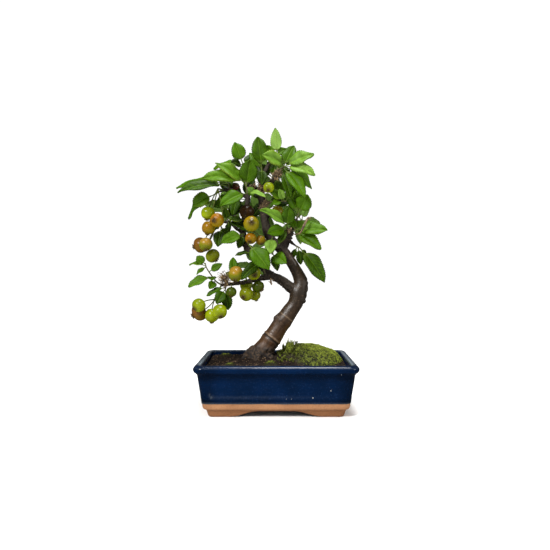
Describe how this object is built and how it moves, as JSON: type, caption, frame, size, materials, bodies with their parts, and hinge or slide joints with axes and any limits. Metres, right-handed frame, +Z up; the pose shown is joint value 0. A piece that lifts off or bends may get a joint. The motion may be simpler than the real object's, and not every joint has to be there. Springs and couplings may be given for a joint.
{
  "type": "crabapple bonsai",
  "caption": "Crabapple bonsai with a bent trunk, toothed leaves and hanging bunches of small fruit, rooted in mossy soil in a glazed rectangular pot with a bare clay foot.",
  "frame": {"origin": "middle of the underside of the whole tree's box, on the surface that the pot's feet stand on", "axes": "+Z up the tree, +X along the pot's long side to the right as seen from the front, +Y to the back"},
  "size_m": [0.2472, 0.163, 0.3841],
  "materials": {
    "glazed_stoneware": "gloss",
    "drain_mesh": "matte",
    "soil": "matte",
    "moss": "matte",
    "bark": "satin",
    "crabapple_skin": "satin",
    "leaf": "satin"
  },
  "bodies": {
    "root": {"pot": "glazed_stoneware", "drain_screen_left": "drain_mesh", "drain_screen_right": "drain_mesh", "soil": "soil", "moss_mound": "moss", "moss_patch_back": "moss", "moss_patch_front": "moss", "moss_patch_left": "moss", "trunk": "bark", "fruit_left_top": "crabapple_skin", "fruit_left_hook": "crabapple_skin", "fruit_centre": "crabapple_skin", "fruit_crown": "crabapple_skin", "fruit_inner": "crabapple_skin", "fruit_low_upper": "crabapple_skin", "fruit_low_single": "crabapple_skin", "fruit_low_under": "crabapple_skin", "fruit_low_tip": "crabapple_skin", "fruit_shaded": "crabapple_skin", "fruit_dried": "crabapple_skin", "shoot_low_tip": "leaf", "shoot_low_hanging": "leaf", "shoot_low_folded": "leaf", "shoot_low_inner": "leaf", "shoot_front_broad": "leaf", "shoot_front_pale": "leaf", "shoot_trunk": "leaf", "shoot_knob_front": "leaf", "shoot_knob_right": "leaf", "shoot_right_hanging": "leaf", "shoot_right_rising": "leaf", "shoot_top_right": "leaf", "shoot_apex": "leaf", "shoot_heart": "leaf", "shoot_crown_middle": "leaf", "shoot_crown_left": "leaf", "shoot_crown_front": "leaf", "shoot_left_upper": "leaf", "shoot_left_middle": "leaf", "shoot_left_broad": "leaf", "shoot_shade_left": "leaf", "shoot_shade_right": "leaf", "shoot_hook": "leaf", "shoot_hook_end": "leaf", "shoot_leader_front": "leaf", "shoot_leader_low": "leaf", "shoot_centre": "leaf", "rosette_back_low": "leaf", "rosette_back_middle": "leaf", "rosette_back_left": "leaf", "rosette_back_right": "leaf", "rosette_back_inner": "leaf", "rosette_back_crown": "leaf", "rosette_back_under": "leaf"}
  },
  "joints": []
}
